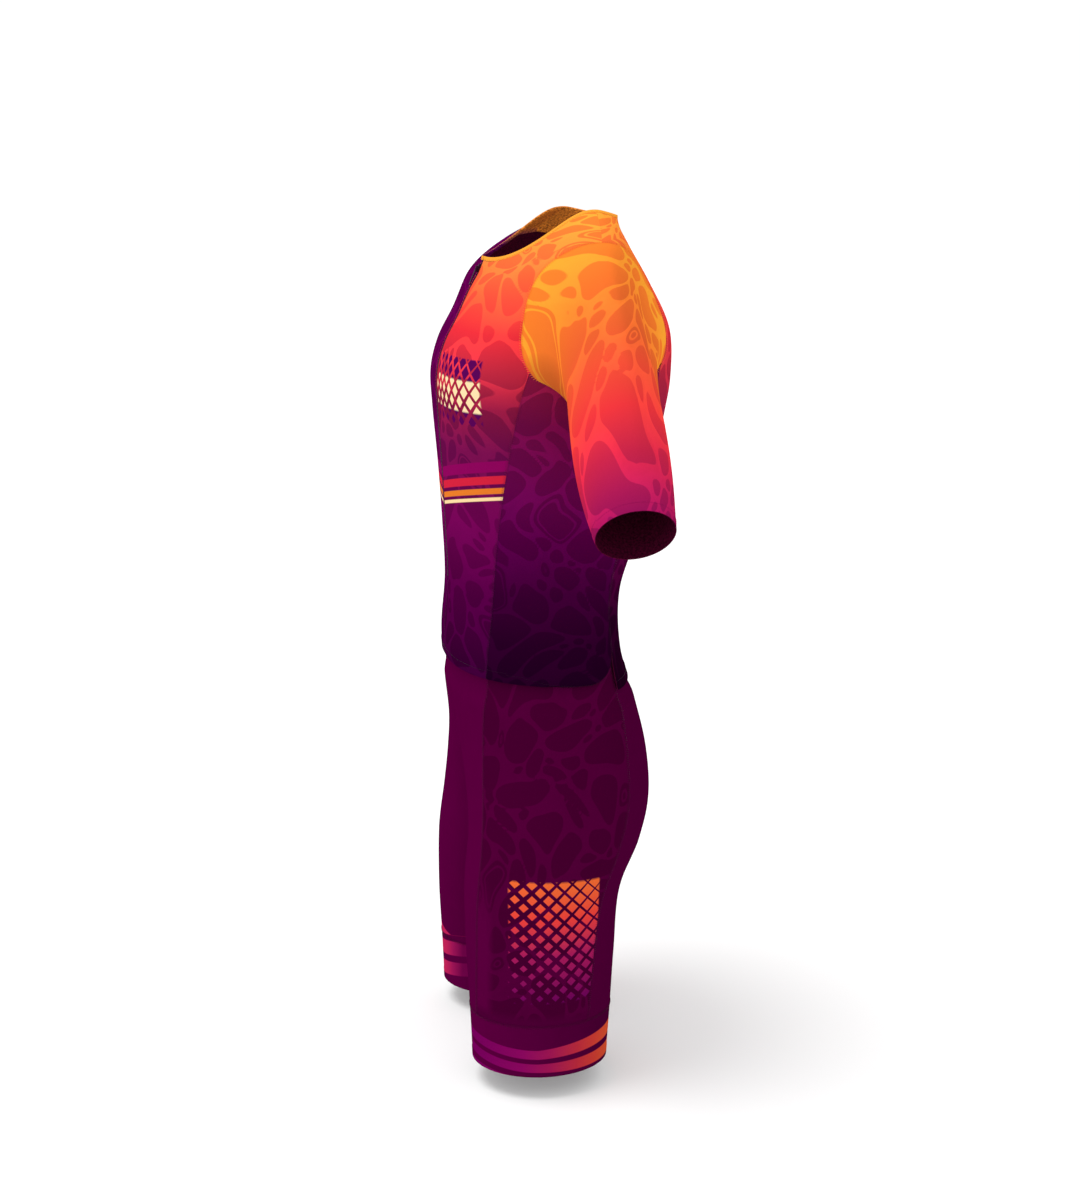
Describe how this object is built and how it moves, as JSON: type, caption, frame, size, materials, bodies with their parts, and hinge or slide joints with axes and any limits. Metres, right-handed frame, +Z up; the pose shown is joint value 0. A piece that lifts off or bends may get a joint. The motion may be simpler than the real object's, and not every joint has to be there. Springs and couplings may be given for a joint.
{
  "type": "cycling speed suit",
  "caption": "Worn-shape short-sleeved cycling speed suit: close jersey over fitted shorts, hollow body, open neck, sleeves and legs, front zip with a swinging pull.",
  "frame": {"origin": "midway between the two neck points of the shoulders, where the wearer carries the suit", "axes": "+X the wearer's left, -Y the front, +Z up"},
  "size_m": [0.739, 0.2467, 0.911],
  "materials": {
    "front_print": "smooth knit, printed orange to crimson to dark purple",
    "side_print": "smooth knit, printed dark purple",
    "back_print": "smooth knit, printed crimson to dark purple",
    "sleeve_print": "smooth knit, printed amber to magenta",
    "binding": "narrow folded elastic binding",
    "zip_tape": "woven tape",
    "zip_chain": "moulded coil",
    "zip_metal": "satin dark enamel",
    "shorts_plain": "firm compression knit, plain purple",
    "shorts_print": "firm compression knit, tone on tone print",
    "band_print": "gripper band, printed hoops"
  },
  "bodies": {
    "suit": {"jersey_front_left": "front_print", "jersey_front_right": "front_print", "jersey_side_left": "side_print", "jersey_side_right": "side_print", "jersey_back": "back_print", "sleeve_left": "sleeve_print", "sleeve_right": "sleeve_print", "neck_binding": "binding", "zip_tape_left": "zip_tape", "zip_tape_right": "zip_tape", "zip_chain": "zip_chain", "zip_slider": "zip_metal", "shorts_front_left": "shorts_plain", "shorts_front_right": "shorts_plain", "shorts_side_left": "shorts_print", "shorts_side_right": "shorts_print", "shorts_back_left": "shorts_plain", "shorts_back_right": "shorts_plain", "leg_band_left": "band_print", "leg_band_right": "band_print"},
    "pull": {"zip_pull": "zip_metal"}
  },
  "joints": [
    {"name": "zip_pull_swing", "type": "hinge", "parent": "suit", "child": "pull", "pos_m": [0, -0.11075, -0.05882], "axis": [-1, 0, 0], "range_deg": [0, 150]}
  ]
}
